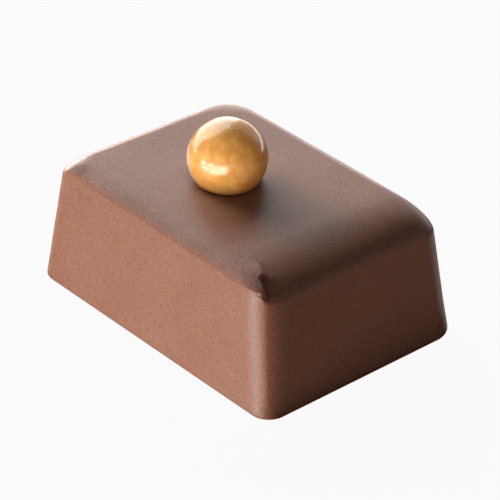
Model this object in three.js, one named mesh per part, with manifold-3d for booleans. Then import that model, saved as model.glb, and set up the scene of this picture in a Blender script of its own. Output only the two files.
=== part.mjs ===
// Ganache chocolate: one rounded block of milk chocolate with a golden pearl sunk into its top.
// Millimetres, +Z up. +X runs along the block's length and +Y across it. The origin is the centre
// of the base, in the middle of the block's bounding box.
import * as THREE from "three";
import { ParametricGeometry } from "three/addons/geometries/ParametricGeometry.js";
import { mergeVertices } from "three/addons/utils/BufferGeometryUtils.js";
import Module from "manifold-3d";

// The block, measured before its edges are rounded.
const BASE_LENGTH = 32.0;
const BASE_WIDTH = 22.8;
const HEIGHT = 12.35;
const CROWN = 0.06; // how much the middle of the top stands above its rim
const BASE_EDGE_RADIUS = 0.5;

// Its four sides. Each leans in by `lean` over the height, and rolls over to the top in a shoulder
// that is `width` wide in plan and `drop` deep.
const SIDES = {
  plusX: { lean: 1.7, width: 5.96, drop: 1.89 },
  minusX: { lean: 1.8, width: 1.72, drop: 1.94 },
  plusY: { lean: 0.84, width: 1.82, drop: 2.38 },
  minusY: { lean: 1.11, width: 2.3, drop: 0.82 },
};

// Its four upright corners, anticlockwise from +X -Y: how far the rounding sets back in plan at the
// base, on the wall and at the rim of the top, how much of its turn is pinched into the middle on
// the wall, and how much the hand-set top stands higher there than a level one.
const CORNERS = [
  { x: 1, y: -1, base: 2.0, wall: 2.47, rim: 0.9, pinch: 0.76, lift: 0 },
  { x: 1, y: 1, base: 2.65, wall: 2.65, rim: 3.45, pinch: 0, lift: -0.13 },
  { x: -1, y: 1, base: 2.03, wall: 2.03, rim: 4.1, pinch: 0, lift: -0.31 },
  { x: -1, y: -1, base: 1.75, wall: 1.75, rim: 1.18, pinch: 0, lift: 0.4 },
];
const BASE_CORNER_HEIGHT = 2.0; // where a corner's base has passed into its wall

// The little foot that the block has spread on at its +X +Y corner.
const FOOT_SPREAD = 0.06;
const FOOT_HEIGHT = 2.1;

// The pearl, its seat in the top, and the clearance between the two.
const PEARL_RADIUS = 3.62;
const PEARL_X = -1.98;
const PEARL_Y = -0.53;
const PEARL_SUNK = 0.414 * PEARL_RADIUS; // how deep it sits below the top
const SEAT_GAP = 0.15;

// How finely the surfaces are divided.
const ARC_STEPS = 10; // round one upright corner
const SIDE_STEPS = 8; // along one side
const BASE_ROWS = 1;
const EDGE_ROWS = 3;
const WALL_ROWS = 8;
const SHOULDER_ROWS = 9;
const TOP_ROWS = 5;
const PEARL_AROUND = 40;
const PEARL_ROWS = 26;
const SEAT_AROUND = 48;
const SEAT_ROWS = 32;

const wasm = await Module();
wasm.setup();

// A closed geometry as a solid, its shared vertices merged.
function solidFrom(geometry) {
  const bare = geometry.clone();
  bare.deleteAttribute("normal");
  bare.deleteAttribute("uv");
  const merged = mergeVertices(bare, 1e-4);
  return new wasm.Manifold(
    new wasm.Mesh({
      numProp: 3,
      vertProperties: merged.getAttribute("position").array,
      triVerts: new Uint32Array(merged.index.array),
    }),
  );
}

// A solid back as a geometry that can be drawn.
function geometryFrom(solid) {
  const mesh = solid.getMesh();
  const geometry = new THREE.BufferGeometry();
  geometry.setAttribute("position", new THREE.BufferAttribute(mesh.vertProperties, 3));
  geometry.setIndex(new THREE.BufferAttribute(mesh.triVerts, 1));
  geometry.computeVertexNormals();
  return geometry;
}

// What a measure of the four sides comes to where the wall faces along the plan normal (nx, ny).
function facing(normal, measure) {
  const { x, y } = normal;
  const alongX = x > 0 ? SIDES.plusX : SIDES.minusX;
  const alongY = y > 0 ? SIDES.plusY : SIDES.minusY;
  return alongX[measure] * x * x + alongY[measure] * y * y;
}

// The rounding of a corner on the wall at height z.
function wallRounding(corner, z) {
  const passed = THREE.MathUtils.smoothstep(z, BASE_EDGE_RADIUS / 2, BASE_CORNER_HEIGHT);
  return {
    setback: THREE.MathUtils.lerp(corner.base, corner.wall, passed),
    pinch: corner.pinch * passed,
  };
}

// How far a rounding of setback 1 has come along the side that it starts from, and across it, once
// its normal has turned through `swept`. A pinched one turns slowly at both ends.
function turned(swept, pinch) {
  const sin = Math.sin(swept);
  const cos = Math.cos(swept);
  const slowAlong = sin / 2 + (Math.sin(5 * swept) / 5 + Math.sin(3 * swept) / 3) / 4;
  const slowAcross =
    (1 - cos) / 2 + ((1 - Math.cos(5 * swept)) / 5 - (1 - Math.cos(3 * swept)) / 3) / 4;
  const whole = 7 / 15; // how far the slow part comes in a quarter turn
  return {
    along: THREE.MathUtils.lerp(sin, slowAlong / whole, pinch),
    across: THREE.MathUtils.lerp(1 - cos, slowAcross / whole, pinch),
  };
}

// The point and outward normal where corner `index` has turned through `swept`, on a plan outline
// whose sides have come in by inset(side) and whose corners are rounded by rounding(corner).
function cornerPoint(index, swept, inset, rounding) {
  const corner = CORNERS[index];
  const sideX = corner.x > 0 ? SIDES.plusX : SIDES.minusX;
  const sideY = corner.y > 0 ? SIDES.plusY : SIDES.minusY;
  const { setback, pinch } = rounding(corner);
  const startAngle = ((index - 1) * Math.PI) / 2;
  const { along, across } = turned(swept, pinch);
  const point = new THREE.Vector2(-across, along - 1)
    .multiplyScalar(setback)
    .rotateAround(new THREE.Vector2(), startAngle);
  point.x += corner.x * (BASE_LENGTH / 2 - inset(sideX));
  point.y += corner.y * (BASE_WIDTH / 2 - inset(sideY));
  const angle = startAngle + swept;
  return { point, normal: new THREE.Vector2(Math.cos(angle), Math.sin(angle)) };
}

// The point and outward normal of a plan outline. `turn` runs from 0 to 4, and each unit is one
// corner's rounding followed by the side after it.
function planPoint(turn, inset, rounding) {
  const index = Math.floor(turn + 1e-9) % CORNERS.length;
  const share = Math.max(0, turn - Math.floor(turn + 1e-9));
  const arcShare = ARC_STEPS / (ARC_STEPS + SIDE_STEPS);
  const swept = (Math.min(share / arcShare, 1) * Math.PI) / 2;
  const { point, normal } = cornerPoint(index, swept, inset, rounding);
  if (share > arcShare) {
    const next = cornerPoint((index + 1) % CORNERS.length, 0, inset, rounding);
    point.lerp(next.point, (share - arcShare) / (1 - arcShare));
  }
  return { point, normal };
}

// How much the uneven top stands above a level one at a place in plan.
function liftAt(x, y) {
  const shareX = x / (BASE_LENGTH / 2);
  const shareY = y / (BASE_WIDTH / 2);
  return CORNERS.reduce(
    (sum, corner) => sum + (corner.lift * (1 + corner.x * shareX) * (1 + corner.y * shareY)) / 4,
    0,
  );
}

// A point of the base's rounded bottom edge, from the flat base (share 0) to the wall (share 1).
function edgePoint(turn, share) {
  const swept = (share * Math.PI) / 2;
  const inset = BASE_EDGE_RADIUS * (1 - Math.sin(swept));
  const z = BASE_EDGE_RADIUS * (1 - Math.cos(swept));
  const lean = (side) => (side.lean * z) / HEIGHT;
  const { point, normal } = planPoint(turn, lean, (corner) => wallRounding(corner, z));
  point.addScaledVector(normal, -inset);
  return { point, normal, z };
}

// A point of the shoulder, from the top of the wall (share 0) to the rim of the top (share 1).
function shoulderPoint(turn, share) {
  const swept = (share * Math.PI) / 2;
  const inward = 1 - Math.cos(swept);
  const inset = (side) => side.lean + side.width * inward;
  const rounding = (corner) => ({
    setback: THREE.MathUtils.lerp(corner.wall, corner.rim, inward),
    pinch: corner.pinch * (1 - inward),
  });
  const { point, normal } = planPoint(turn, inset, rounding);
  const z = HEIGHT - facing(normal, "drop") * (1 - Math.sin(swept));
  point.addScaledVector(normal, facing(normal, "lean") * (1 - z / HEIGHT));
  return { point, normal, z };
}

// A point of the leaning wall, from the bottom edge (share 0) to the shoulder (share 1).
function wallPoint(turn, share) {
  const high = shoulderPoint(turn, 0);
  const z = THREE.MathUtils.lerp(BASE_EDGE_RADIUS, high.z, share);
  const lean = (side) => (side.lean * BASE_EDGE_RADIUS) / HEIGHT;
  const low = planPoint(turn, lean, (corner) => wallRounding(corner, z));
  return { point: low.point.lerp(high.point, share), normal: low.normal, z };
}

// A point of the flat base, from its middle (share 0) to its bottom edge (share 1).
function basePoint(turn, share) {
  const rim = edgePoint(turn, 0);
  return { point: rim.point.multiplyScalar(share), normal: rim.normal, z: 0 };
}

// A point of the slightly crowned top, from its rim (share 0) to its middle (share 1).
function topPoint(turn, share) {
  const rim = shoulderPoint(turn, 1);
  const outward = 1 - share;
  rim.point.multiplyScalar(outward);
  return { point: rim.point, normal: rim.normal, z: HEIGHT + CROWN * (1 - outward * outward) };
}

// The stretches of the block's section, from the middle of the base to the middle of the top.
const STRETCHES = [
  { rows: BASE_ROWS, at: basePoint },
  { rows: EDGE_ROWS, at: edgePoint },
  { rows: WALL_ROWS, at: wallPoint },
  { rows: SHOULDER_ROWS, at: shoulderPoint },
  { rows: TOP_ROWS, at: topPoint },
];
const BLOCK_ROWS = STRETCHES.reduce((sum, stretch) => sum + stretch.rows, 0);

// The block's surface: `around` and `up` run from 0 to 1.
function blockSurface(around, up, target) {
  let row = up * BLOCK_ROWS;
  let stretch = STRETCHES[0];
  for (stretch of STRETCHES) {
    if (row <= stretch.rows + 1e-9) break;
    row -= stretch.rows;
  }
  const turn = (around % 1) * CORNERS.length;
  const { point, normal, z } = stretch.at(turn, Math.min(row / stretch.rows, 1));
  const towardsFoot = Math.max(0, (normal.x + normal.y) / Math.SQRT2) ** 4;
  const spread = FOOT_SPREAD * towardsFoot * Math.exp(-((z / FOOT_HEIGHT) ** 2));
  if (stretch.at !== basePoint) point.addScaledVector(normal, spread);
  target.set(point.x, point.y, z + (liftAt(point.x, point.y) * z) / HEIGHT);
}

const pearlCentre = new THREE.Vector3(
  PEARL_X,
  PEARL_Y,
  HEIGHT + CROWN + liftAt(PEARL_X, PEARL_Y) + PEARL_RADIUS - PEARL_SUNK,
);

const aroundSteps = CORNERS.length * (ARC_STEPS + SIDE_STEPS);
const block = new ParametricGeometry(blockSurface, aroundSteps, BLOCK_ROWS);
const seat = new THREE.SphereGeometry(PEARL_RADIUS + SEAT_GAP, SEAT_AROUND, SEAT_ROWS);
seat.rotateX(Math.PI / 2);
seat.translate(pearlCentre.x, pearlCentre.y, pearlCentre.z);

const chocolateBody = new THREE.Mesh(
  geometryFrom(solidFrom(block).subtract(solidFrom(seat))),
  new THREE.MeshStandardMaterial({ color: 0xa5765f, roughness: 0.55, metalness: 0 }),
);
chocolateBody.name = "chocolate_body";

const pearlShape = new THREE.SphereGeometry(PEARL_RADIUS, PEARL_AROUND, PEARL_ROWS);
pearlShape.rotateX(Math.PI / 2);
const goldenPearl = new THREE.Mesh(
  pearlShape,
  new THREE.MeshStandardMaterial({ color: 0xd99a45, roughness: 0.25, metalness: 0.1 }),
);
goldenPearl.name = "golden_pearl";
goldenPearl.position.copy(pearlCentre);

// The leans and the foot differ from side to side, so the bounding box is centred on the origin.
chocolateBody.geometry.computeBoundingBox();
const middle = chocolateBody.geometry.boundingBox.getCenter(new THREE.Vector3());
const ganacheChocolate = new THREE.Group();
ganacheChocolate.add(chocolateBody, goldenPearl);
ganacheChocolate.position.set(-middle.x, -middle.y, 0);

export default ganacheChocolate;
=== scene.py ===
"""A ganache chocolate: a rounded block of milk chocolate with a golden pearl sunk into its top.

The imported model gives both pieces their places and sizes. Sizes in this script are in
millimetres, and every mesh is brought to metres as it is finished. +X runs along the block,
+Y across it and +Z up, and the block stands on the floor at z = 0.
"""

from __future__ import annotations

import logging
import math
from dataclasses import dataclass, field
from enum import Enum
from typing import Callable, Iterable, Sequence

import bmesh
import bpy
from mathutils import Matrix, Vector, noise

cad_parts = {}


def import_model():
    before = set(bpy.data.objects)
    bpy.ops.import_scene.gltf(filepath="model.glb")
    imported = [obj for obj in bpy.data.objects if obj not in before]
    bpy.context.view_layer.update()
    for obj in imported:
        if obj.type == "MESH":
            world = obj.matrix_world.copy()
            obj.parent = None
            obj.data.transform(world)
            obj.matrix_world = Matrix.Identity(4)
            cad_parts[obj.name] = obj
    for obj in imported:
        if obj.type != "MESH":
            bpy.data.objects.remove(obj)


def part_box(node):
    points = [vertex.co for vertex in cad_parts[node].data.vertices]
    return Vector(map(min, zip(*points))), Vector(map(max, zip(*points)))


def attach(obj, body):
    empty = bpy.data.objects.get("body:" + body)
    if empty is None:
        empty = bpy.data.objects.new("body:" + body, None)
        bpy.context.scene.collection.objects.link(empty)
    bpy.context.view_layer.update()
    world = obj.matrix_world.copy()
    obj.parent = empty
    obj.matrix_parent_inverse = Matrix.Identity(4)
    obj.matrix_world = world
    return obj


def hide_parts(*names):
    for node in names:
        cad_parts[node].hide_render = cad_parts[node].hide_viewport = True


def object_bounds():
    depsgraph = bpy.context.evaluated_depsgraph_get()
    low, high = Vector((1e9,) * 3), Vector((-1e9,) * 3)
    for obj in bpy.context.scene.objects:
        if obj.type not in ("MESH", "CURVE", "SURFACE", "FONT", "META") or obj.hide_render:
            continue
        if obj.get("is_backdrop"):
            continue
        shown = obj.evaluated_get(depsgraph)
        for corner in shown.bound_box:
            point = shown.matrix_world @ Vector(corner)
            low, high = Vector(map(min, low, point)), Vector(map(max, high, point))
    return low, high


MM = 0.001

log = logging.getLogger("ganache_chocolate")


# --------------------------------------------------------------------------------------
# Small helpers
# --------------------------------------------------------------------------------------


def blend(low: float, high: float, share: float) -> float:
    """Returns the value that lies `share` of the way from low to high."""
    return low + (high - low) * share


def ease(low: float, high: float, value: float) -> float:
    """Rises smoothly from 0 to 1 as a value passes from one bound to the other.

    Args:
        low: the value at which the result is 0.
        high: the value at which the result is 1. It may be the smaller of the two.
        value: the value.

    Returns:
        A number from 0 to 1.
    """
    share = min(max((value - low) / (high - low), 0.0), 1.0)
    return share * share * (3.0 - 2.0 * share)


def waves(place: Vector, size: float, seed: float) -> float:
    """Returns smooth unevenness from about -1 to 1 whose lumps are `size` millimetres wide."""
    return noise.noise(place / size + Vector((seed, 2.3 * seed, -1.7 * seed)))


def lumps(place: Vector, layers: Sequence[tuple[float, float, float]]) -> float:
    """Adds up layers of unevenness.

    Args:
        place: the place, in millimetres.
        layers: for each layer its height, how wide its lumps are and its seed.

    Returns:
        The whole unevenness there.
    """
    return sum(height * waves(place, size, seed) for height, size, seed in layers)


def distance_to_segment(place: Vector, start: Vector, end: Vector) -> float:
    """Returns how far a place is from the straight line between two points."""
    line = end - start
    share = 0.0 if line.length_squared == 0 else (place - start).dot(line) / line.length_squared
    return (place - start - line * min(max(share, 0.0), 1.0)).length


def finished_object(mesh: bmesh.types.BMesh, name: str) -> bpy.types.Object:
    """Turns a closed mesh in millimetres into a smooth object in metres at the origin.

    Args:
        mesh: the mesh, which is freed.
        name: the object's name.

    Returns:
        The object, linked to the scene.
    """
    bmesh.ops.recalc_face_normals(mesh, faces=mesh.faces[:])
    bmesh.ops.scale(mesh, vec=(MM, MM, MM), verts=mesh.verts[:])
    for face in mesh.faces:
        face.smooth = True
    data = bpy.data.meshes.new(name)
    mesh.to_mesh(data)
    mesh.free()
    piece = bpy.data.objects.new(name, data)
    bpy.context.scene.collection.objects.link(piece)
    return piece


# --------------------------------------------------------------------------------------
# Nodes
# --------------------------------------------------------------------------------------


class Bench:
    """Places and wires the nodes of one tree."""

    def __init__(self, tree: bpy.types.NodeTree) -> None:
        """Works on the given tree."""
        self.tree = tree

    def node(self, kind: str, inputs: dict | None = None, **settings: object) -> bpy.types.Node:
        """Places one node.

        Args:
            kind: the node's type, such as ShaderNodeTexNoise.
            inputs: for an input's name or number, its value or the socket that feeds it.
            **settings: the node's own properties.

        Returns:
            The node.
        """
        placed = self.tree.nodes.new(kind)
        for name, value in settings.items():
            setattr(placed, name, value)
        for name, value in (inputs or {}).items():
            if isinstance(value, bpy.types.NodeSocket):
                self.tree.links.new(value, placed.inputs[name])
            else:
                placed.inputs[name].default_value = value
        return placed

    def math(self, operation: str, *values: object) -> bpy.types.NodeSocket:
        """Returns the result of a Math node on one to three numbers or sockets."""
        return self.node("ShaderNodeMath", dict(enumerate(values)), operation=operation).outputs[0]

    def span(self, value: object, low: float, high: float, to: tuple = (0.0, 1.0)) -> bpy.types.NodeSocket:
        """Returns a value eased from low..high to the two ends of `to`."""
        inputs = {"Value": value, "From Min": low, "From Max": high, "To Min": to[0], "To Max": to[1]}
        ranged = self.node("ShaderNodeMapRange", inputs, interpolation_type="SMOOTHSTEP")
        return ranged.outputs["Result"]

    def mix(self, share: object, first: object, second: object) -> bpy.types.NodeSocket:
        """Returns two colours mixed by a share."""
        mixed = self.node("ShaderNodeMix", data_type="RGBA")
        for slot, value in ((0, share), (6, first), (7, second)):
            if isinstance(value, bpy.types.NodeSocket):
                self.tree.links.new(value, mixed.inputs[slot])
            else:
                mixed.inputs[slot].default_value = value
        return mixed.outputs[2]


def new_group(name: str, inputs: dict[str, float], outputs: dict[str, str]) -> tuple:
    """Starts a shader node group with named sockets.

    Args:
        name: the group's name.
        inputs: the number inputs and what each is at first.
        outputs: the outputs and the kind of each, Float or Color.

    Returns:
        The group's bench, its input node and its output node.
    """
    tree = bpy.data.node_groups.new(name, "ShaderNodeTree")
    for label, value in inputs.items():
        socket = tree.interface.new_socket(label, in_out="INPUT", socket_type="NodeSocketFloat")
        socket.default_value = value
    for label, kind in outputs.items():
        tree.interface.new_socket(label, in_out="OUTPUT", socket_type=f"NodeSocket{kind}")
    bench = Bench(tree)
    return bench, bench.node("NodeGroupInput"), bench.node("NodeGroupOutput")


def new_material(name: str) -> tuple[bpy.types.Material, Bench]:
    """Starts an empty material.

    Args:
        name: the material's name.

    Returns:
        The material and the bench of its nodes.
    """
    made = bpy.data.materials.new(name)
    made.use_nodes = True
    made.node_tree.nodes.clear()
    return made, Bench(made.node_tree)


def surface_grain_group() -> bpy.types.NodeTree:
    """Makes the fine grain and the broad clouding that both finishes share.

    Returns:
        A group whose Grain and Mottle outputs lie round 0.5 and whose Specks output is 1 on
        scattered dots. Its sizes are in millimetres.
    """
    sizes = {"Grain Size": 0.2, "Mottle Size": 3.0, "Speck Spacing": 1.5, "Speck Size": 0.1}
    masks = {"Grain": "Float", "Mottle": "Float", "Specks": "Float"}
    bench, given, out = new_group("Surface Grain", sizes, masks)
    place = bench.node("ShaderNodeTexCoord").outputs["Object"]
    in_mm = bench.node("ShaderNodeVectorMath", {0: place, "Scale": 1.0 / MM}, operation="SCALE").outputs[0]

    for mask, detail, roughness in (("Grain", 2.0, 0.7), ("Mottle", 3.0, 0.55)):
        scale = bench.math("DIVIDE", 1.0, given.outputs[f"{mask} Size"])
        inputs = {"Vector": in_mm, "Scale": scale, "Detail": detail, "Roughness": roughness}
        clouds = bench.node("ShaderNodeTexNoise", inputs)
        bench.tree.links.new(clouds.outputs[0], out.inputs[mask])
    spacing = bench.math("DIVIDE", 1.0, given.outputs["Speck Spacing"])
    dots = bench.node("ShaderNodeTexVoronoi", {"Vector": in_mm, "Scale": spacing, "Randomness": 1.0})
    reach = bench.math("MULTIPLY", given.outputs["Speck Size"], spacing)
    near = bench.math("LESS_THAN", dots.outputs["Distance"], reach)
    bench.tree.links.new(near, out.inputs["Specks"])
    return bench.tree


# --------------------------------------------------------------------------------------
# Finishes
# --------------------------------------------------------------------------------------


REFRACTION = 1.5


class Mark(Enum):
    """What a mark on the surface is: the name of the mesh attribute that holds its mask. Besides real bare
    chocolate and scuffs, the bare mask also holds painted shade and the scuff mask also holds painted
    highlights.
    """

    FILM = "film"
    # bare chocolate, and painted shade: darker chocolate in hollows, in a dent at the front corner and round
    # the pearl's seat
    BARE_AND_SHADE = "bare"
    # pale scuffs and specks, and painted highlights along the front corner's crease and front edge
    SCUFF_AND_HIGHLIGHT = "scuff"


@dataclass(frozen=True)
class MilkChocolateFinish:
    """Matt milk chocolate with a fine grain, grey bloom on its film and pale scuffs, with painted shade and
    painted highlights laid on through its bare and scuff masks.

    Attributes:
        tone: the plain chocolate.
        deep_tone: the chocolate where it is a little darker and redder.
        film_tone: the greyed film.
        film_deep_tone: the film's redder flecks.
        bare_and_shade_tone: the chocolate that the film leaves bare, also used as painted shade in hollows
            and round the pearl's seat.
        scuff_and_highlight_tone: the pale dust of a scuff, also used as a painted highlight on the front
            corner's crease and edge.
        roughness: how matt it is on average, and how far that varies to each side.
        grain_size: how wide its grain is, in millimetres.
        grain_depth: how far the grain lightens and darkens it.
        mottle_size: how wide its broad clouding is.
        fleck_size: how wide the film's flecks are.
        speck_spacing: how far apart its pale specks lie.
        speck_size: how wide each speck is.
        speck_strength: how much of the scuff's tone a speck has.
        bump: how strongly its grain shows as relief, and how deep it is in millimetres.
        scattering: how much of the light passes under its skin.
        scatter_reach: how far red, green and blue light spreads there, in millimetres.
    """

    tone: tuple = (0.345, 0.153, 0.094, 1.0)
    deep_tone: tuple = (0.33, 0.143, 0.087, 1.0)
    film_tone: tuple = (0.355, 0.172, 0.124, 1.0)
    film_deep_tone: tuple = (0.33, 0.128, 0.083, 1.0)
    bare_and_shade_tone: tuple = (0.26, 0.09, 0.046, 1.0)
    scuff_and_highlight_tone: tuple = (0.55, 0.34, 0.25, 1.0)
    roughness: tuple[float, float] = (0.4, 0.03)
    grain_size: float = 0.16
    grain_depth: float = 0.32
    mottle_size: float = 3.2
    fleck_size: float = 0.42
    speck_spacing: float = 1.3
    speck_size: float = 0.05
    speck_strength: float = 0.5
    bump: tuple[float, float] = (0.25, 0.02)
    scattering: float = 0.4
    scatter_reach: tuple[float, float, float] = (1.0, 0.4, 0.22)

    def material(self, grain: bpy.types.NodeTree) -> bpy.types.Material:
        """Makes the material.

        Args:
            grain: the shared grain group.

        Returns:
            The material.
        """
        made, bench = new_material("milk_chocolate")
        sizes = {
            "Grain Size": self.grain_size,
            "Mottle Size": self.mottle_size,
            "Speck Spacing": self.speck_spacing,
            "Speck Size": self.speck_size,
        }
        skin = bench.node("ShaderNodeGroup", sizes, node_tree=grain)
        flecks = bench.node("ShaderNodeGroup", {"Grain Size": self.fleck_size}, node_tree=grain)
        film, bare, scuff = (
            bench.node("ShaderNodeAttribute", attribute_name=mark.value).outputs["Fac"] for mark in Mark
        )

        clouded = bench.mix(bench.span(skin.outputs["Mottle"], 0.3, 0.7), self.deep_tone, self.tone)
        fleck_share = bench.span(flecks.outputs["Grain"], 0.4, 0.6)
        filmed = bench.mix(film, clouded, bench.mix(fleck_share, self.film_deep_tone, self.film_tone))
        # painted shade: besides marking bare chocolate, the bare mask darkens hollows and the chocolate round
        # and beside the pearl
        bared_and_shaded = bench.mix(bare, filmed, self.bare_and_shade_tone)
        # painted highlight: besides real scuffs, the scuff mask lightens the crease and a strip down the
        # front edge
        scuffed_and_highlit = bench.mix(scuff, bared_and_shaded, self.scuff_and_highlight_tone)
        speck_share = bench.math("MULTIPLY", skin.outputs["Specks"], self.speck_strength)
        dusted = bench.mix(speck_share, scuffed_and_highlit, self.scuff_and_highlight_tone)
        lightness = bench.span(
            skin.outputs["Grain"], 0.25, 0.75, (1 - self.grain_depth, 1 + self.grain_depth)
        )
        grained = bench.node("ShaderNodeHueSaturation", {"Value": lightness, "Color": dusted}).outputs[0]
        strength, depth = self.bump
        relief = {"Strength": strength, "Distance": depth * MM, "Height": skin.outputs["Grain"]}
        bump = bench.node("ShaderNodeBump", relief)
        matt, spread = self.roughness
        shader = bench.node("ShaderNodeBsdfPrincipled", {
            "Base Color": grained,
            "Roughness": bench.span(skin.outputs["Mottle"], 0.2, 0.8, (matt - spread, matt + spread)),
            "IOR": REFRACTION,
            "Subsurface Weight": self.scattering,
            "Subsurface Radius": self.scatter_reach,
            "Subsurface Scale": MM,
            "Normal": bump.outputs[0],
        })
        bench.node("ShaderNodeOutputMaterial", {"Surface": shader.outputs[0]})
        return made


@dataclass(frozen=True)
class PearlFinish:
    """The golden, slightly mottled lustre of a sugar pearl.

    Attributes:
        tone: the golden colour.
        deep_tone: the browner gold between the lighter lumps.
        cream_tone: the paler flecks in its skin.
        sheen_tone: the colour of the broad sheen of its lustre.
        bounce_tone: what it throws back on the chocolate, whose shadow it keeps dark.
        bounce_share: how much of that tone it has where it lights the chocolate.
        cream_share: how much of the cream tone a fleck has at most.
        grain_size: how wide its flecks are, in millimetres.
        mottle_size: how wide the lighter and browner gold is.
        bump: how strongly its flecks show as relief, and how deep they are in millimetres.
        roughness: how matt its lustre is.
        coat: how much clear coat there is between its flecks, and how much on them.
        coat_roughness: how matt that coat is.
    """

    tone: tuple = (0.77, 0.355, 0.078, 1.0)
    deep_tone: tuple = (0.66, 0.235, 0.04, 1.0)
    cream_tone: tuple = (0.88, 0.62, 0.32, 1.0)
    sheen_tone: tuple = (1.0, 0.9, 0.7, 1.0)
    bounce_tone: tuple = (0.1, 0.04, 0.015, 1.0)
    bounce_share: float = 0.85
    cream_share: float = 0.35
    grain_size: float = 0.17
    mottle_size: float = 0.9
    bump: tuple[float, float] = (0.45, 0.02)
    roughness: float = 0.4
    coat: tuple[float, float] = (0.35, 1.0)
    coat_roughness: float = 0.08

    def material(self, grain: bpy.types.NodeTree) -> bpy.types.Material:
        """Makes the material.

        Args:
            grain: the shared grain group.

        Returns:
            The material.
        """
        made, bench = new_material("pearl_lustre")
        sizes = {"Grain Size": self.grain_size, "Mottle Size": self.mottle_size}
        skin = bench.node("ShaderNodeGroup", sizes, node_tree=grain)
        golden = bench.mix(bench.span(skin.outputs["Mottle"], 0.3, 0.7), self.deep_tone, self.tone)
        creamy = bench.span(skin.outputs["Grain"], 0.48, 0.75, (0.0, self.cream_share))
        mottled = bench.mix(creamy, golden, self.cream_tone)
        rays = bench.node("ShaderNodeLightPath")
        bounced = bench.math("MULTIPLY", rays.outputs["Is Diffuse Ray"], self.bounce_share)
        seen = bench.mix(bounced, mottled, self.bounce_tone)
        strength, depth = self.bump
        relief = {"Strength": strength, "Distance": depth * MM, "Height": skin.outputs["Grain"]}
        bump = bench.node("ShaderNodeBump", relief)
        shader = bench.node("ShaderNodeBsdfPrincipled", {
            "Base Color": seen,
            "Roughness": self.roughness,
            "IOR": REFRACTION,
            "Specular Tint": self.sheen_tone,
            "Coat Weight": bench.span(skin.outputs["Grain"], 0.36, 0.56, self.coat),
            "Coat Roughness": self.coat_roughness,
            "Coat IOR": REFRACTION,
            "Normal": bump.outputs[0],
        })
        bench.node("ShaderNodeOutputMaterial", {"Surface": shader.outputs[0]})
        return made


# --------------------------------------------------------------------------------------
# The chocolate block
# --------------------------------------------------------------------------------------


@dataclass(frozen=True)
class Side:
    """One side of the block.

    Attributes:
        lean: how far the wall leans in over the block's height.
        width: how wide the shoulder above it is in plan.
        drop: how far that shoulder falls.
    """

    lean: float
    width: float
    drop: float


@dataclass(frozen=True)
class Rounding:
    """The plan shape of a rounded corner.

    Attributes:
        setback: how far back from the sharp corner it starts on each side.
        pinch: how much of its turn is pinched into its middle, from 0 to 1.
    """

    setback: float
    pinch: float

    def turned(self, swept: float) -> Vector:
        """Finds the point of the rounding where its normal has turned through an angle.

        Where it is pinched, its radius falls by the square of cos(2 * swept) towards its middle.

        Args:
            swept: the angle.

        Returns:
            The point from the sharp corner: outwards from the side that the rounding starts
            from, and along that side.
        """
        sin, cos = math.sin(swept), math.cos(swept)
        sin_3, cos_3 = math.sin(3 * swept), math.cos(3 * swept)
        sin_5, cos_5 = math.sin(5 * swept), math.cos(5 * swept)
        pinched_along = sin / 2 + (sin_5 / 5 + sin_3 / 3) / 4
        pinched_across = (1 - cos) / 2 + ((1 - cos_5) / 5 - (1 - cos_3) / 3) / 4
        at_full_turn = 7 / 15
        along = blend(sin, pinched_along / at_full_turn, self.pinch)
        across = blend(1 - cos, pinched_across / at_full_turn, self.pinch)
        return Vector((-across, along - 1)) * self.setback


@dataclass(frozen=True)
class Corner:
    """One upright corner of the block, and the side that follows it anticlockwise.

    Attributes:
        x: 1 at the +X end and -1 at the -X end.
        y: 1 on the +Y side and -1 on the -Y side.
        base: how far its rounding sets back at the base.
        wall: how far it sets back on the wall.
        rim: how far it sets back at the rim of the top.
        pinch: how much of its turn is pinched into the middle on the wall.
        lift: how much higher the hand-set top stands there than a level one.
        arc_columns: how many columns of the mesh its arc takes.
        side_columns: how many columns the side after it takes.
    """

    x: int
    y: int
    base: float
    wall: float
    rim: float
    pinch: float
    lift: float
    arc_columns: int
    side_columns: int


@dataclass(frozen=True)
class Column:
    """One column of the mesh, by its place on the plan outline.

    Attributes:
        corner: the number of the corner that it belongs to.
        swept: the angle that it has turned through on that corner's arc.
        along: how far it has gone along the side after the arc, from 0 to 1.
    """

    corner: int
    swept: float
    along: float


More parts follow.
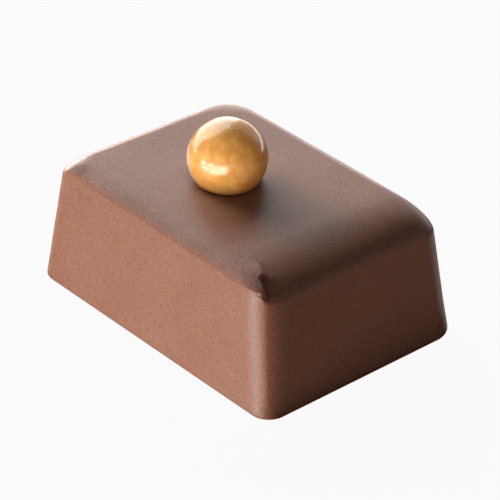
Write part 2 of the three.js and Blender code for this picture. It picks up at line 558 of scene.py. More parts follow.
class Blemish:
    """One mark on the block's surface, along a middle line of one or more points.

    Attributes:
        CRUMBS: the roughness of a crumbled skin, as layers of lumps.
        EDGE_LUMPS: how wide the lumps of an uneven edge are, and their seed.
    """

    CRUMBS = ((0.6, 0.3, 5.2), (0.4, 0.16, 6.3))
    EDGE_LUMPS = (0.45, 4.1)

    def __init__(
        self,
        mark: Mark,
        line: Sequence[tuple[float, float, float]],
        reach: float,
        fade: float = 0.2,
        ragged: float = 0.2,
        strength: float = 1.0,
        height: float = 0.0,
        crumble: float = 0.0,
        bridging: float = 0.0,
    ) -> None:
        """Keeps what the mark is.

        Args:
            mark: what it is.
            line: the points of its middle line, which is one point where it is round.
            reach: how far it reaches from that line.
            fade: how wide its edge fades.
            ragged: how uneven its edge is.
            strength: how strong its colour is, from 0 to 1.
            height: how far it stands proud of the surface.
            crumble: how rough its skin is.
            bridging: how much of the fall to the next side it bridges, from 0 to 1.
        """
        self.mark = mark
        self.bridging = bridging
        self.reach, self.fade, self.ragged = reach, fade, ragged
        self.strength, self.height, self.crumble = strength, height, crumble
        points = [Vector(point) for point in line]
        self.parts = list(zip(points, points[1:])) or [(points[0], points[0])]
        self.middle = sum(points, Vector()) / len(points)
        margin = reach + fade + ragged
        self.bounds_radius = max((point - self.middle).length for point in points) + margin

    def share(self, place: Vector) -> float:
        """Returns how much of the mark there is at a place, from 0 to 1."""
        if (place - self.middle).length > self.bounds_radius:
            return 0.0
        away = min(distance_to_segment(place, start, end) for start, end in self.parts)
        uneven = self.ragged * waves(place, *self.EDGE_LUMPS)
        return ease(self.reach + self.fade / 2, self.reach - self.fade / 2, away + uneven)

    def relief(self, place: Vector) -> float:
        """Returns how far the whole mark stands proud at a place."""
        return self.height + self.crumble * lumps(place, self.CRUMBS)


class Film(Blemish):
    """A greyed film that ends sharply at its outline and fades out away from its heart.

    Attributes:
        PLANE: how the outline's plane leans: its share of Y and its share of Z.
        LIP_LUMPS: the unevenness of its sharp edge, as layers of lumps.
        SKIN_CRUMBLE: how rough its skin is.
    """

    PLANE = (0.8, 0.6)
    LIP_LUMPS = ((1.0, 0.35, 2.6), (0.6, 0.15, 3.9))
    SKIN_CRUMBLE = 0.012

    def __init__(
        self,
        heart: Sequence[tuple[float, float, float]],
        reach: float,
        fade: float,
        outline: Sequence[tuple[float, float]],
        height: float,
        lip: float = 0.1,
        ragged: float = 0.07,
        strength: float = 1.0,
        bridging: float = 0.0,
    ) -> None:
        """Keeps what the film is.

        Args:
            heart: the points of the line from which it fades out.
            reach: how far it reaches from that line.
            fade: how wide it fades there.
            outline: the corners of its outline, each as the place along X and the height on
                a plane that leans back over the -Y shoulder.
            height: how far it stands proud at its outline.
            lip: how wide its sharp edge is.
            ragged: how uneven that edge is.
            strength: how strong its colour is, from 0 to 1.
            bridging: how much of the fall to the next side it bridges, from 0 to 1.
        """
        super().__init__(
            Mark.FILM, heart, reach, fade, strength=strength, height=height, crumble=self.SKIN_CRUMBLE,
            bridging=bridging,
        )
        self.lip, self.edge_ragged = lip, ragged
        corners = [Vector((x, up, 0.0)) for x, up in outline]
        self.sides = list(zip(corners, corners[1:] + corners[:1]))

    def outside(self, place: Vector) -> float:
        """Returns how far a place is outside the outline, or below 0 how far inside it."""
        flat = Vector((place.x, self.PLANE[0] * place.y + self.PLANE[1] * place.z, 0.0))
        away = min(distance_to_segment(flat, start, end) for start, end in self.sides)
        crossings = sum(
            (start.y > flat.y) != (end.y > flat.y)
            and flat.x < blend(start.x, end.x, (flat.y - start.y) / (end.y - start.y))
            for start, end in self.sides
        )
        return -away if crossings % 2 else away

    def share(self, place: Vector) -> float:
        """Returns how much of the film there is at a place, from 0 to 1."""
        near = super().share(place)
        if near == 0:
            return 0.0
        uneven = self.edge_ragged * lumps(place, self.LIP_LUMPS)
        return near * ease(self.lip / 2, -self.lip / 2, self.outside(place) + uneven)


def front_corner_marks() -> list[Blemish]:
    """Lists the marks at the corner between -Y and +X, where the top's film ends in a lip.

    Returns:
        The film, the painted highlight along its crease and the painted shade in the hollow beside it, the
        bare chocolate beside it, a dent darkened with bare chocolate and painted shade, and below it the pale
        bump, the worn edge, the rubbed strip, which is partly a painted highlight, and the scuffed foot.
    """
    lip = [
        (5.0, -1.5), (8.83, -1.4), (9.24, -1.15), (9.72, -1.1), (10.22, -1.06), (10.74, -1.06),
        (11.13, -1.07), (11.52, -1.07), (11.81, -1.12), (12.08, -1.16), (12.28, -1.17), (12.59, -1.2),
        (12.9, -1.21), (13.15, -1.17), (13.36, -1.11), (13.5, -1.04), (13.6, -0.98), (13.66, -0.9),
    ]
    cliff = [
        (13.66, -0.84), (13.5, -0.74), (13.23, -0.54), (12.95, -0.37), (12.59, -0.15), (12.34, -0.02),
        (12.04, 0.15), (11.89, 0.45), (11.73, 0.76), (11.25, 1.03), (10.72, 1.21), (10.22, 1.33), (9.4, 1.65),
        (8.0, 2.4), (5.0, 2.8),
    ]
    painted_crease_highlight = [(10.3, -7.53, 12.27), (10.72, -7.63, 12.21), (11.25, -7.79, 12.13), (11.68, -7.92, 12.04)]
    painted_hollow_shade = [(10.9, -7.35, 12.18), (11.5, -7.55, 12.1), (12.0, -7.85, 11.97)]
    band = [
        (12.08, -8.2, 11.95), (12.22, -8.68, 11.91), (12.6, -8.84, 11.81), (13.05, -9.05, 11.65),
        (13.6, -9.35, 11.35), (13.8, -9.6, 11.2),
    ]
    edge = [(13.51, -9.7, 11.25), (13.69, -9.74, 10.65), (13.81, -9.79, 10.03), (13.95, -9.85, 9.32)]
    worn_and_highlit_strip = [(12.81, -10.1, 10.87), (12.74, -10.26, 9.9), (13.0, -10.47, 8.09), (13.34, -10.65, 6.31)]
    foot = [(14.49, -11.16, 1.15), (15.0, -11.03, 0.63)]
    return [
        Film([(10.8, -9.0, 12.1), (13.4, -9.8, 11.6)], 3.2, 4.2, lip + cliff, height=0.03, bridging=0.55),
        Blemish(Mark.BARE_AND_SHADE, band, 0.3, 0.35, 0.12, strength=0.9),
        # a dent darkened with the bare tone: bare chocolate and painted shade in the dent
        Blemish(Mark.BARE_AND_SHADE, [(13.0, -8.5, 11.7)], 0.5, 1.6, 0.1, strength=0.35, height=-0.12),
        # painted highlight: a pale line where the fold catches the light, with no ridge under it
        Blemish(Mark.SCUFF_AND_HIGHLIGHT, painted_crease_highlight, 0.03, 0.08, 0.03, strength=0.2),
        # painted shade: the shallow hollow beside the crease darkened as if in shade
        Blemish(Mark.BARE_AND_SHADE, painted_hollow_shade, 0.12, 0.35, 0.1, strength=0.15, height=-0.03),
        Blemish(Mark.SCUFF_AND_HIGHLIGHT, [(13.38, -9.82, 11.27)], 0.06, 0.1, 0.03, strength=0.8, height=0.05),
        Blemish(Mark.SCUFF_AND_HIGHLIGHT, edge, 0.16, 0.2, 0.15, strength=0.12, crumble=0.04),
        # partly wear and partly a painted highlight: the pale band where the front edge turns towards the
        # light
        Blemish(Mark.SCUFF_AND_HIGHLIGHT, worn_and_highlit_strip, 0.15, 0.7, 0.2, strength=0.12),
        Blemish(Mark.SCUFF_AND_HIGHLIGHT, foot, 0.12, 0.25, 0.2, strength=0.35, crumble=0.02),
    ]


def small_marks() -> list[Blemish]:
    """Lists the marks elsewhere.

    Returns:
        The bare chocolate and painted contact shade along the front of the pearl's seat, the painted shadow
        that the pearl casts on the top, the left corner's film, and the pits, specks and scuffs.
    """
    left_film = [
        (-13.6, -1.2), (-13.27, -0.8), (-12.73, -0.93), (-12.1, -1.03), (-11.3, -0.97), (-11.05, -0.78),
        (-10.9, -0.45), (-11.2, 0.6), (-12.0, 1.4), (-13.6, 1.4),
    ]
    pits = [(-9.39, -7.27, 12.62), (6.78, -6.87, 12.44), (4.6, 7.3, 12.3)]
    specks = [(11.38, -2.23, 12.05), (-10.41, -3.86, 12.55), (-3.93, -7.25, 12.56), (7.9, 3.4, 12.3)]
    scuffs = [(11.14, -11.12, 2.79), (-10.67, -11.34, 0.78), (-11.95, -11.06, 3.48), (15.5, 4.2, 1.9)]
    seat_rim_bare_and_shaded = [
        (-3.9, -3.1, 12.5), (-2.6, -3.7, 12.45), (-1.0, -3.6, 12.4), (0.4, -2.7, 12.35), (1.1, -1.3, 12.35),
    ]
    painted_pearl_shadow = [(1.2, -2.9, 12.35), (2.6, -2.6, 12.35)]
    return [
        # bare chocolate and painted contact shade along the front of the pearl's seat
        Blemish(Mark.BARE_AND_SHADE, seat_rim_bare_and_shaded, 0.5, 1.0, 0.3, strength=0.8, crumble=0.03),
        # painted shadow: darker chocolate where the pearl's shadow falls on the top
        Blemish(Mark.BARE_AND_SHADE, painted_pearl_shadow, 0.6, 1.8, 0.3, strength=0.9),
        Film([(-12.2, -9.8, 12.1)], 1.0, 0.8, left_film, height=0.03, strength=0.6),
        Blemish(Mark.SCUFF_AND_HIGHLIGHT, [(-2.4, 4.6, 12.36), (-2.2, 4.9, 12.36)], 0.04, 0.1, 0.05, strength=0.3),
        *(Blemish(Mark.BARE_AND_SHADE, [place], 0.07, 0.12, 0.05, height=-0.03) for place in pits),
        *(Blemish(Mark.SCUFF_AND_HIGHLIGHT, [place], 0.06, 0.1, 0.05, strength=0.4, height=0.02) for place in specks),
        *(Blemish(Mark.SCUFF_AND_HIGHLIGHT, [place], 0.18, 0.4, 0.25, strength=0.2) for place in scuffs),
    ]


@dataclass(frozen=True)
class Spoke:
    """What the rows of one column share on the top.

    Attributes:
        rim: the column's point on the rim of the top.
        contact: where the column meets the pearl.
        toward: the flat direction from the pearl's middle to the rim.
        angle: how far below the pearl's waist the contact lies.
    """

    rim: Vector
    contact: Vector
    toward: Vector
    angle: float


@dataclass
class ChocolateBlock:
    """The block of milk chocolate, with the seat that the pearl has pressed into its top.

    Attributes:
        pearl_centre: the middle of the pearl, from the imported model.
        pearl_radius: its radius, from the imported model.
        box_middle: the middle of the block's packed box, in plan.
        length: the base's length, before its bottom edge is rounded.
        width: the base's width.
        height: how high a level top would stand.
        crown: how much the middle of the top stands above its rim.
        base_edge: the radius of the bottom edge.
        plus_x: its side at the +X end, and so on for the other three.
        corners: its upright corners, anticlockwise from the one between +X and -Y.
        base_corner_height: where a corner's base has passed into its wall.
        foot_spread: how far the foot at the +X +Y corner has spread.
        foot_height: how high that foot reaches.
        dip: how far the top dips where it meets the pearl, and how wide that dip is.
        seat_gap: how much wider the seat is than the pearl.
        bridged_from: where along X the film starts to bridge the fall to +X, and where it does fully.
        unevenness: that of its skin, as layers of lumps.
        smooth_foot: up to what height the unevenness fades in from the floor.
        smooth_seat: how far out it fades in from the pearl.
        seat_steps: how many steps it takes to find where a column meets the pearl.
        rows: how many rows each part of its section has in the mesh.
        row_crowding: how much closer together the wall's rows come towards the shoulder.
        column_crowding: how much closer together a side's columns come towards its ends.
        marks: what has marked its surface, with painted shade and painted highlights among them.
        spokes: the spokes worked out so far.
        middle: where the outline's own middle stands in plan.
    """

    pearl_centre: Vector
    pearl_radius: float
    box_middle: Vector
    length: float = 32.0
    width: float = 22.8
    height: float = 12.35
    crown: float = 0.06
    base_edge: float = 0.5
    plus_x: Side = Side(lean=1.7, width=5.96, drop=1.89)
    minus_x: Side = Side(lean=1.8, width=1.72, drop=1.94)
    plus_y: Side = Side(lean=0.84, width=1.82, drop=2.38)
    minus_y: Side = Side(lean=1.11, width=2.3, drop=0.82)
    corners: Sequence[Corner] = (
        Corner(1, -1, 2.0, 2.47, 0.9, 0.76, 0.0, arc_columns=56, side_columns=94),
        Corner(1, 1, 2.65, 2.65, 3.45, 0.0, -0.13, arc_columns=36, side_columns=76),
        Corner(-1, 1, 2.03, 2.03, 4.1, 0.0, -0.31, arc_columns=30, side_columns=56),
        Corner(-1, -1, 1.75, 1.75, 1.18, 0.0, 0.4, arc_columns=40, side_columns=152),
    )
    base_corner_height: float = 2.0
    foot_spread: float = 0.06
    foot_height: float = 2.1
    dip: tuple[float, float] = (0.1, 0.7)
    seat_gap: float = 0.01
    bridged_from: tuple[float, float] = (9.0, 11.0)
    unevenness: Sequence[tuple[float, float, float]] = (
        (0.03, 5.0, 1.0), (0.008, 1.3, 2.0), (0.002, 0.4, 3.0),
    )
    smooth_foot: float = 0.8
    smooth_seat: float = 0.6
    seat_steps: int = 6
    rows: dict[str, int] = field(
        default_factory=lambda: {"edge": 6, "wall": 52, "shoulder": 56, "top": 52, "seat": 8}
    )
    row_crowding: float = 0.6
    column_crowding: float = 0.5
    marks: Sequence[Blemish] = field(default_factory=lambda: front_corner_marks() + small_marks())
    spokes: dict[Column, Spoke] = field(default_factory=dict)
    middle: Vector = field(default_factory=lambda: Vector((0.0, 0.0)))

    def __post_init__(self) -> None:
        """Puts the outline's middle where the block fills its packed box."""
        foot = [self.settled(*self.edge_point(column, 1.0)) for column in self.columns()]
        own = [(min(along) + max(along)) / 2 for along in zip(*foot)]
        self.middle = self.box_middle - Vector(own[:2])

    def corner_point(
        self,
        number: int,
        swept: float,
        inset: Callable[[Side], float],
        rounding: Callable[[Corner], Rounding],
    ) -> tuple[Vector, Vector]:
        """Finds where a corner has turned through an angle on a plan outline.

        Args:
            number: the corner's number.
            swept: the angle.
            inset: how far a side has come in.
            rounding: a corner's rounding.

        Returns:
            The point and the outward normal, both flat vectors.
        """
        corner = self.corners[number % len(self.corners)]
        side_x = self.plus_x if corner.x > 0 else self.minus_x
        side_y = self.plus_y if corner.y > 0 else self.minus_y
        start = (number - 1) * math.pi / 2
        sharp = Vector((
            corner.x * (self.length / 2 - inset(side_x)),
            corner.y * (self.width / 2 - inset(side_y)),
        ))
        point = sharp + Matrix.Rotation(start, 2) @ rounding(corner).turned(swept)
        return point, Vector((math.cos(start + swept), math.sin(start + swept)))

    def outline_point(
        self,
        column: Column,
        inset: Callable[[Side], float],
        rounding: Callable[[Corner], Rounding],
    ) -> tuple[Vector, Vector]:
        """Finds a column's point on a plan outline.

        Args:
            column: the column.
            inset: how far a side has come in.
            rounding: a corner's rounding.

        Returns:
            The point and the outward normal, both flat vectors.
        """
        point, normal = self.corner_point(column.corner, column.swept, inset, rounding)
        if column.along > 0:
            side_end, _ = self.corner_point(column.corner + 1, 0.0, inset, rounding)
            point = point.lerp(side_end, column.along)
        return point, normal

    def facing(self, normal: Vector, measure: str) -> float:
        """Returns what a measure of the sides comes to where the wall faces along a normal."""
        along_x = self.plus_x if normal.x > 0 else self.minus_x
        along_y = self.plus_y if normal.y > 0 else self.minus_y
        return getattr(along_x, measure) * normal.x**2 + getattr(along_y, measure) * normal.y**2

    def lift_at(self, point: Vector) -> float:
        """Returns how much the uneven top stands above a level one at a place in plan."""
        x, y = 2 * point.x / self.length, 2 * point.y / self.width
        return sum(c.lift * (1 + c.x * x) * (1 + c.y * y) / 4 for c in self.corners)

    def wall_rounding(self, z: float) -> Callable[[Corner], Rounding]:
        """Returns the function that gives a corner's rounding on the wall at a height."""
        passed = ease(self.base_edge / 2, self.base_corner_height, z)
        return lambda corner: Rounding(blend(corner.base, corner.wall, passed), corner.pinch * passed)

    def edge_point(self, column: Column, share: float) -> tuple[Vector, Vector, float]:
        """Returns a point of the rounded bottom edge, its normal and its height."""
        swept = share * math.pi / 2
        z = self.base_edge * (1 - math.cos(swept))
        point, normal = self.outline_point(
            column, lambda side: side.lean * z / self.height, self.wall_rounding(z)
        )
        return point - normal * self.base_edge * (1 - math.sin(swept)), normal, z

    def shoulder_point(self, column: Column, share: float) -> tuple[Vector, Vector, float]:
        """Returns a point of the shoulder, from the wall to the rim, its normal and its height."""
        swept = share * math.pi / 2
        inward = 1 - math.cos(swept)
        point, normal = self.outline_point(
            column,
            lambda side: side.lean + side.width * inward,
            lambda corner: Rounding(blend(corner.wall, corner.rim, inward), corner.pinch * (1 - inward)),
        )
        z = self.height - self.facing(normal, "drop") * (1 - math.sin(swept))
        return point + normal * self.facing(normal, "lean") * (1 - z / self.height), normal, z

    def wall_point(self, column: Column, share: float) -> tuple[Vector, Vector, float]:
        """Returns a point of the leaning wall, its normal and its height."""
        high, normal, high_z = self.shoulder_point(column, 0.0)
        z = blend(self.base_edge, high_z, share)
        low, _ = self.outline_point(
            column, lambda side: side.lean * self.base_edge / self.height, self.wall_rounding(z)
        )
        return low.lerp(high, share), normal, z

    def settled(self, point: Vector, normal: Vector, z: float) -> Vector:
        """Adds the foot and the uneven top to a point, and puts it where the block stands."""
        towards_foot = max(0.0, (normal.x + normal.y) / math.sqrt(2)) ** 4
        spread = self.foot_spread * towards_foot * math.exp(-((z / self.foot_height) ** 2))
        placed = point + normal * spread
        height = z + self.lift_at(placed) * z / self.height
        return Vector((placed.x + self.middle.x, placed.y + self.middle.y, height))

    def fall_at_corner(self, place: Vector) -> float:
        """Returns how far the -Y shoulder has fallen away towards +X at a place."""
        raw = place.xy - self.middle
        along = (raw.y + self.width / 2 - self.minus_y.lean) / self.minus_y.width
        inward = 1 - min(max(along, 0.0), 1.0)
        shoulder = self.height - self.minus_y.drop * (1 - math.sqrt(1 - inward**2))
        shoulder += self.lift_at(raw) * shoulder / self.height
        return max(0.0, shoulder - place.z) * ease(*self.bridged_from, place.x)

    def top_height(self, x: float, y: float) -> float:
        """Returns how high the crowned top stands at a place, before the dip at the pearl."""
        raw = Vector((x - self.middle.x, y - self.middle.y))
        across_x = 2 * raw.x / (self.length - 2 * (self.plus_x.lean + self.plus_x.width))
        across_y = 2 * raw.y / (self.width - 2 * (self.plus_y.lean + self.plus_y.width))
        bulge = self.crown * max(0.0, 1 - across_x**2) * max(0.0, 1 - across_y**2)
        level = self.height + bulge
        return level + self.lift_at(raw) * level / self.height

    def spoke(self, column: Column) -> Spoke:
        """Finds where a column crosses the rim and where it meets the pearl, once for each column.

        Args:
            column: the column.

        Returns:
            Its spoke, which is kept for the column's other rows.
        """
        if column not in self.spokes:
            rim = self.settled(*self.shoulder_point(column, 1.0))
            toward = (rim.xy - self.pearl_centre.xy).normalized()
            seat = self.pearl_radius + self.seat_gap
            reach = seat
            for _ in range(self.seat_steps):
                z = self.top_height(*(self.pearl_centre.xy + toward * reach)) - self.dip[0]
                angle = math.asin((self.pearl_centre.z - z) / seat)
                reach = seat * math.cos(angle)
            contact = (self.pearl_centre.xy + toward * reach).to_3d()
            contact.z = z
            self.spokes[column] = Spoke(rim, contact, toward, angle)
        return self.spokes[column]

    def top_point(self, column: Column, share: float) -> Vector:
        """Returns a point of the top, from its rim to where it meets the pearl."""
        spoke = self.spoke(column)
        flat = spoke.rim.xy.lerp(spoke.contact.xy, share)
        away = (flat - spoke.contact.xy).length
        dip = self.dip[0] * math.exp(-((away / self.dip[1]) ** 2))
        level = self.top_height(flat.x, flat.y)
        rim_gap = spoke.rim.z - self.top_height(spoke.rim.x, spoke.rim.y)
        return Vector((flat.x, flat.y, level + rim_gap * (1 - share) ** 2 - dip))

    def seat_point(self, column: Column, share: float) -> Vector:
        """Returns a point of the seat under the pearl, from its rim to near its bottom."""
        spoke = self.spoke(column)
        below = blend(spoke.angle, math.pi / 2, share)
        seat = self.pearl_radius + self.seat_gap
        flat = self.pearl_centre.xy + spoke.toward * seat * math.cos(below)
        return Vector((flat.x, flat.y, self.pearl_centre.z - seat * math.sin(below)))

    def columns(self) -> list[Column]:
        """Lays out the mesh's columns, which come closer together towards the corners."""
        laid = []
        for number, corner in enumerate(self.corners):
            for step in range(corner.arc_columns):
                laid.append(Column(number, step / corner.arc_columns * math.pi / 2, 0.0))
            for step in range(corner.side_columns):
                even = step / corner.side_columns
                crowded = (1 - math.cos(math.pi * even)) / 2
                laid.append(Column(number, math.pi / 2, blend(even, crowded, self.column_crowding)))
        return laid

    def sections(self) -> Iterable[Callable[[Column], Vector]]:
        """Yields, for each row above the base, the function that places a column's point."""
        for name, place in (
            ("edge", lambda c, s: self.settled(*self.edge_point(c, s))),
            ("wall", lambda c, s: self.settled(*self.wall_point(c, s))),
            ("shoulder", lambda c, s: self.settled(*self.shoulder_point(c, s))),
            ("top", self.top_point),
            ("seat", self.seat_point),
        ):
            count = self.rows[name]
            for step in range(1, count + 1):
                share = step / (count + 1) if name == "seat" else step / count
                if name == "wall":
                    share += self.row_crowding * share * (1 - share)
                yield lambda column, place=place, share=share: place(column, share)

    def lofted(self) -> bmesh.types.BMesh:
        """Grows the block from its base outline, one ring at a time."""
        mesh = bmesh.new()
        number = mesh.verts.layers.int.new("column")
        columns = self.columns()
        made = bmesh.ops.create_circle(mesh, cap_ends=True, cap_tris=True, radius=1, segments=len(columns))
        ring = [vert for vert in made["verts"] if len(vert.link_edges) == 3]
        hub = next(vert for vert in made["verts"] if len(vert.link_edges) > 3)
        hub.co = (self.middle.x, self.middle.y, 0)
        ring.sort(key=lambda vert: math.atan2(vert.co.y, vert.co.x))
        for index, vert in enumerate(ring):
            vert[number] = index
            vert.co = self.settled(*self.edge_point(columns[index], 0.0))
        edges = [edge for edge in mesh.edges if edge.is_boundary]
        for place in self.sections():
            grown = bmesh.ops.extrude_edge_only(mesh, edges=edges)["geom"]
            ring = [item for item in grown if isinstance(item, bmesh.types.BMVert)]
            fresh = set(ring)
            edges = [
                item for item in grown
                if isinstance(item, bmesh.types.BMEdge) and fresh.issuperset(item.verts)
            ]
            for vert in ring:
                vert.co = place(columns[vert[number]])
        bottom = self.pearl_centre - Vector((0, 0, self.pearl_radius + self.seat_gap))
        bmesh.ops.pointmerge(mesh, verts=ring, merge_co=bottom)
        return mesh

    def roughen(self, mesh: bmesh.types.BMesh) -> None:
        """Gives the surface its unevenness and its marks, and stores each mark's mask."""
        bmesh.ops.recalc_face_normals(mesh, faces=mesh.faces[:])
        mesh.normal_update()
        layers = {mark: mesh.verts.layers.float.new(mark.value) for mark in Mark}
        moves = []
        for vert in mesh.verts:
            place = vert.co
            off_floor = ease(0.0, self.smooth_foot, place.z)
            off_pearl = ease(0.0, self.smooth_seat, (place - self.pearl_centre).length - self.pearl_radius)
            bridged = 0.0
            proud = lumps(place, self.unevenness)
            for blemish in self.marks:
                share = blemish.share(place)
                if share > 0:
                    layer = layers[blemish.mark]
                    vert[layer] = max(vert[layer], share * blemish.strength)
                    proud += share * blemish.relief(place)
                    if blemish.bridging:
                        bridged = share * blemish.bridging * self.fall_at_corner(place)
            moves.append((vert, vert.normal * proud * off_floor * off_pearl + Vector((0, 0, bridged))))
        for vert, move in moves:
            vert.co += move

    def build(self, material: bpy.types.Material) -> bpy.types.Object:
        """Builds the block and dresses it.

        Args:
            material: the chocolate.

        Returns:
            The finished piece.
        """
        mesh = self.lofted()
        self.roughen(mesh)
        piece = finished_object(mesh, "chocolate_block")
        piece.data.materials.append(material)
        return piece


# --------------------------------------------------------------------------------------
# The pearl
# --------------------------------------------------------------------------------------


@dataclass
class GoldenPearl:
    """The golden pearl.

    Attributes:
        centre: its middle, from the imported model.
        radius: its radius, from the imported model.
        divisions: how often the starting solid's triangles are divided.
        unevenness: how far its skin strays from a true sphere.
        layers: its lumps, whose heights are shares of that.
    """

    centre: Vector
    radius: float
    divisions: int = 7
    unevenness: float = 0.024
    layers: Sequence[tuple[float, float, float]] = ((0.35, 1.6, 7.0), (0.3, 0.8, 8.0), (0.35, 0.4, 9.0))

    def build(self, material: bpy.types.Material) -> bpy.types.Object:
        """Builds the pearl and dresses it.

        Args:
            material: the lustre.

        Returns:
            The finished piece.
        """
        mesh = bmesh.new()
        bmesh.ops.create_icosphere(mesh, subdivisions=self.divisions, radius=self.radius)
        for vert in mesh.verts:
            vert.co += vert.co.normalized() * self.unevenness * lumps(vert.co, self.layers)
        bmesh.ops.translate(mesh, vec=self.centre, verts=mesh.verts[:])
        piece = finished_object(mesh, "pearl")
        piece.data.materials.append(material)
        return piece


# --------------------------------------------------------------------------------------
# The studio
# --------------------------------------------------------------------------------------


WHITE = (1.0, 1.0, 1.0)
WARM = (1.13, 0.92, 0.8)
SUNNY = (1.04, 0.99, 0.93)
RUDDY = (1.25, 0.9, 0.73)
PALE = (0.95, 1.02, 1.02)
BLOCK = ("chocolate_block",)
BLOCK_AND_FLOOR = ("chocolate_block", "floor")
PEARL = ("pearl",)


def soft_light(
    name: str,
    size: tuple[float, float],
    radiance: float,
    tint: tuple[float, float, float],
    stance: Matrix,
    lit: Sequence[str],
) -> bpy.types.Object:
    """Places a rectangular light that the camera doesn't see.

    Args:
        name: what it is called.
        size: how wide and how high it is, in metres.
        radiance: how bright it is.
        tint: its colour.
        stance: its place and its axes. It shines along its own -Z.
        lit: the pieces that it lights.

    Returns:
        The light's object.
    """
    data = bpy.data.lights.new(name, "AREA")
    data.shape = "RECTANGLE"
    data.size, data.size_y = size
    data.energy = radiance * data.size * data.size_y * math.pi
    data.color = tint
    light = bpy.data.objects.new(name, data)
    light.matrix_world = stance
    light.visible_camera = False
    bpy.context.scene.collection.objects.link(light)
    receivers = bpy.data.collections.new(name)
    for piece in lit:
        receivers.objects.link(bpy.data.objects[piece])
    light.light_linking.receiver_collection = receivers
    return light


def flat_sheet(
    name: str,
    middle: tuple[float, float, float],
    reach: tuple[float, float],
    material: bpy.types.Material,
) -> bpy.types.Object:
    """Lays a flat sheet that belongs to the set.

    Args:
        name: what it is called.
        middle: where its middle lies, in metres.
        reach: how far it reaches to each side along X and along Y, in metres.
        material: what it is made of.

    Returns:
        The sheet's object.
    """
    mesh = bmesh.new()
    bmesh.ops.create_grid(mesh, x_segments=1, y_segments=1, size=1.0)
    bmesh.ops.scale(mesh, vec=(*reach, 1.0), verts=mesh.verts[:])
    bmesh.ops.translate(mesh, vec=middle, verts=mesh.verts[:])
    data = bpy.data.meshes.new(name)
    mesh.to_mesh(data)
    mesh.free()
    data.materials.append(material)
    sheet = bpy.data.objects.new(name, data)
    bpy.context.scene.collection.objects.link(sheet)
    sheet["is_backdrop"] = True
    return sheet


@dataclass(frozen=True)
class Panel:
    """One upright soft light, by what of the sky it fills as seen from the object.

    Attributes:
        name: what it is called.
        facing: the heading of its nearest point, in degrees anticlockwise from +X.
        start: the heading of one end.
        end: the heading of the other end.
        low: how high its lower edge stands, as a share of its distance.
        high: how high its upper edge stands, as a share of its distance.
        radiance: how bright it is.
        tint: its colour.
        lit: the pieces that it lights.
        distance: how far off it stands, in metres.
    """

    name: str
    facing: float
    start: float
    end: float
    low: float
    high: float
    radiance: float
    tint: tuple[float, float, float] = WHITE
    lit: tuple[str, ...] = BLOCK
    distance: float = 0.6

    def place(self) -> bpy.types.Object:
        """Places the light.

        Returns:
            The light's object.
        """
        left = math.tan(math.radians(self.start - self.facing)) * self.distance
        right = math.tan(math.radians(self.end - self.facing)) * self.distance
        bottom, top = self.low * self.distance, self.high * self.distance
        heading = math.radians(self.facing)
        outward = Vector((math.cos(heading), math.sin(heading), 0))
        sideways = Vector((-outward.y, outward.x, 0))
        upward = Vector((0, 0, 1))
        spot = outward * self.distance + sideways * (left + right) / 2 + upward * (bottom + top) / 2
        axes = Matrix((sideways, upward, outward)).transposed().to_4x4()
        size = (right - left, top - bottom)
        stance = Matrix.Translation(spot) @ axes
        return soft_light(self.name, size, self.radiance, self.tint, stance, self.lit)


@dataclass(frozen=True)
class FloorGlow:
    """The light that the floor beside the +X wall throws up at it.

    Attributes:
        near: where it starts, in metres along X.
        far: where it ends.
        width: how far it reaches across, in metres.
        height: how high it lies, in metres.
        radiance: how bright it is.
        tint: its colour.
    """

    near: float = 0.0175
    far: float = 0.08
    width: float = 0.1
    height: float = 0.0001
    radiance: float = 0.09
    tint: tuple[float, float, float] = WARM

    def place(self) -> bpy.types.Object:
        """Places the light, which shines on the chocolate alone.

        Returns:
            The light's object.
        """
        spot = Vector(((self.near + self.far) / 2, 0, self.height))
        stance = Matrix.Translation(spot) @ Matrix.Rotation(math.pi, 4, "X")
        size = (self.far - self.near, self.width)
        return soft_light("floor_glow", size, self.radiance, self.tint, stance, BLOCK)


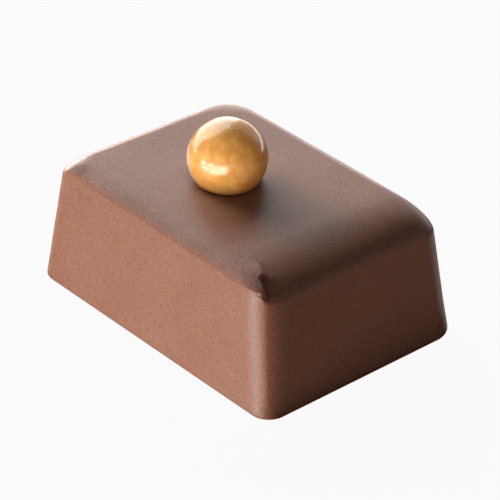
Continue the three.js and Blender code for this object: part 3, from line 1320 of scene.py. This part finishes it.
@dataclass
class Studio:
    """A pale floor, soft panels and the camera at the photograph's viewing angle.

    Attributes:
        azimuth: how far the camera stands round from -Y towards +X, in degrees.
        elevation: how high it looks down from, in degrees.
        roll: how far it is rolled, in degrees.
        distance: how far it stands from its target, in metres.
        target: what it looks at, in metres.
        focal_pixels: its focal length in pixels of the photograph.
        frame_pixels: the photograph's width.
        sensor: its sensor's width, in millimetres.
        clip: the nearest and the farthest that it sees, in metres.
        floor_reach: how far the floor reaches to each side, in metres.
        floor_tone: how light the floor is where the lights strike it.
        floor_glow: how bright the camera sees it at least.
        shade_middle: where the middle of the floor's dark patch lies, in metres.
        shade_reach: how far that patch reaches along X and along Y.
        shade_tone: how light it is.
        room_glow: how bright the room round the set is.
        panels: the lights.
    """

    azimuth: float = 49.46506
    elevation: float = 32.21158
    roll: float = 0.14645
    distance: float = 0.272534
    target: Vector = field(default_factory=lambda: Vector((0.0004666, 0.0, 0.0057978)))
    focal_pixels: float = 3046.0
    frame_pixels: float = 500.0
    sensor: float = 36.0
    clip: tuple[float, float] = (0.01, 20.0)
    floor_reach: float = 3.0
    floor_tone: float = 0.06
    floor_glow: float = 0.95
    shade_middle: tuple[float, float, float] = (0.0228, 0.0, -0.0001)
    shade_reach: tuple[float, float] = (0.00725, 0.015)
    shade_tone: float = 0.03
    room_glow: float = 0.02
    panels: Sequence[Panel] = (
        Panel("side_glow", 180.0, 150.0, 198.0, 0.087, 0.53, 11.2),
        Panel("side_core", 180.0, 170.0, 190.0, 0.087, 0.53, 9.0),
        Panel("side_window", 165.0, 125.0, 205.0, -0.32, 1.0, 1.7, lit=BLOCK_AND_FLOOR),
        Panel("left_strip", 258.0, 248.0, 268.0, -0.62, 0.087, 5.1, SUNNY, lit=BLOCK_AND_FLOOR),
        Panel("left_fill", 260.0, 230.0, 290.0, -2.4, 0.087, 1.9),
        Panel("left_high", 265.0, 240.0, 290.0, 0.087, 0.45, 1.6, SUNNY),
        Panel("corner_fill", 303.0, 281.0, 325.0, -0.32, 0.0, 1.8, RUDDY),
        Panel("right_high", 0.0, -40.0, 40.0, -0.1, 0.2, 0.22, WARM),
        Panel("back_window", 115.0, 95.0, 135.0, -0.1, 0.3, 1.5),
        Panel("back_low", 100.0, 70.0, 130.0, -2.4, -0.32, 0.58),
        Panel("back_high", 60.0, 30.0, 90.0, 0.087, 1.0, 0.25),
        Panel("pearl_window", 171.0, 130.0, 212.0, 0.0, 2.36, 3.7, PALE, lit=PEARL),
        Panel("pearl_fill", 345.0, 300.0, 390.0, -0.9, 0.3, 0.55, RUDDY, lit=PEARL),
        Panel("pearl_back", 103.0, 78.0, 129.0, 0.06, 1.1, 0.7, lit=PEARL),
        Panel("pearl_low", 280.0, 235.0, 325.0, -2.0, -0.4, 0.9, lit=PEARL),
        Panel("pearl_horizon", 112.0, 75.0, 148.0, -0.15, 0.04, 2.6, lit=PEARL),
        Panel("pearl_strip", 284.0, 245.0, 322.0, -0.4, 0.09, 9.0, PALE, lit=PEARL),
    )

    def place_camera(self) -> None:
        """Places the camera."""
        turn, rise, roll = (math.radians(a) for a in (self.azimuth, self.elevation, self.roll))
        back = Vector((
            math.sin(turn) * math.cos(rise),
            -math.cos(turn) * math.cos(rise),
            math.sin(rise),
        ))
        level_right = Vector((math.cos(turn), math.sin(turn), 0))
        level_up = back.cross(level_right)
        right = level_right * math.cos(roll) + level_up * math.sin(roll)
        up = level_up * math.cos(roll) - level_right * math.sin(roll)
        data = bpy.data.cameras.new("camera")
        data.sensor_width = self.sensor
        data.lens = self.focal_pixels / self.frame_pixels * self.sensor
        data.clip_start, data.clip_end = self.clip
        camera = bpy.data.objects.new("camera", data)
        axes = Matrix((right, up, back)).transposed().to_4x4()
        camera.matrix_world = Matrix.Translation(self.target + back * self.distance) @ axes
        bpy.context.scene.collection.objects.link(camera)
        bpy.context.scene.camera = camera

    def lay_floor(self) -> None:
        """Lays the pale floor, which the camera alone sees and sees nearly white."""
        made, bench = new_material("pale_floor")
        matt = bench.node("ShaderNodeBsdfDiffuse", {"Color": (*(self.floor_tone,) * 3, 1.0)})
        glow = bench.node("ShaderNodeEmission", {"Color": (*WHITE, 1.0), "Strength": self.floor_glow})
        seen = bench.node("ShaderNodeAddShader", {0: matt.outputs[0], 1: glow.outputs[0]})
        bench.node("ShaderNodeOutputMaterial", {"Surface": seen.outputs[0]})
        floor = flat_sheet("floor", (0.0, 0.0, 0.0), (self.floor_reach, self.floor_reach), made)
        for rays in ("diffuse", "glossy", "transmission", "shadow"):
            setattr(floor, f"visible_{rays}", False)

    def shade_floor(self) -> None:
        """Puts the dark patch in the block's shade, just under the floor on its +X side."""
        made, bench = new_material("shaded_floor")
        matt = bench.node("ShaderNodeBsdfDiffuse", {"Color": (*(self.shade_tone,) * 3, 1.0)})
        bench.node("ShaderNodeOutputMaterial", {"Surface": matt.outputs[0]})
        shade = flat_sheet("shade", self.shade_middle, self.shade_reach, made)
        shade.visible_camera = False

    def fill_world(self) -> None:
        """Surrounds the set with a dim room that the camera sees as white."""
        world = bpy.data.worlds.new("room")
        world.use_nodes = True
        world.node_tree.nodes.clear()
        bench = Bench(world.node_tree)
        dim = bench.node("ShaderNodeBackground", {"Color": (*WHITE, 1.0), "Strength": self.room_glow})
        white = bench.node("ShaderNodeBackground", {"Color": (*WHITE, 1.0), "Strength": 1.0})
        rays = bench.node("ShaderNodeLightPath")
        both = bench.node("ShaderNodeMixShader", {
            0: rays.outputs["Is Camera Ray"], 1: dim.outputs[0], 2: white.outputs[0]})
        bench.node("ShaderNodeOutputWorld", {"Surface": both.outputs[0]})
        bpy.context.scene.world = world

    def build(self) -> None:
        """Sets the whole studio up."""
        bpy.context.scene.view_settings.view_transform = "Standard"
        self.place_camera()
        self.lay_floor()
        self.shade_floor()
        self.fill_world()
        for panel in (*self.panels, FloorGlow()):
            panel.place()


# --------------------------------------------------------------------------------------
# The whole
# --------------------------------------------------------------------------------------


def main() -> None:
    """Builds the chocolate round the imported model, and the studio round the chocolate."""
    logging.basicConfig(level=logging.INFO, format="%(name)s: %(message)s")
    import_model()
    packed_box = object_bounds()

    block_low, block_high = (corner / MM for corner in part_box("chocolate_body"))
    pearl_low, pearl_high = (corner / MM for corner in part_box("golden_pearl"))
    pearl_centre = (pearl_low + pearl_high) / 2
    pearl_radius = (pearl_high.z - pearl_low.z) / 2
    grain = surface_grain_group()

    block_middle = (block_low + block_high).xy / 2
    chocolate = MilkChocolateFinish().material(grain)
    block = ChocolateBlock(pearl_centre, pearl_radius, block_middle).build(chocolate)
    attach(block, "root")
    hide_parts("chocolate_body")
    log.info("%s: %d faces", block.name, len(block.data.polygons))

    pearl = GoldenPearl(pearl_centre, pearl_radius).build(PearlFinish().material(grain))
    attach(pearl, "root")
    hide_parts("golden_pearl")
    log.info("%s: %d faces", pearl.name, len(pearl.data.polygons))

    Studio().build()
    dressed_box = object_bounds()
    [[list(corner) for corner in box] for box in (packed_box, dressed_box)]


if __name__ == "__main__":
    main()
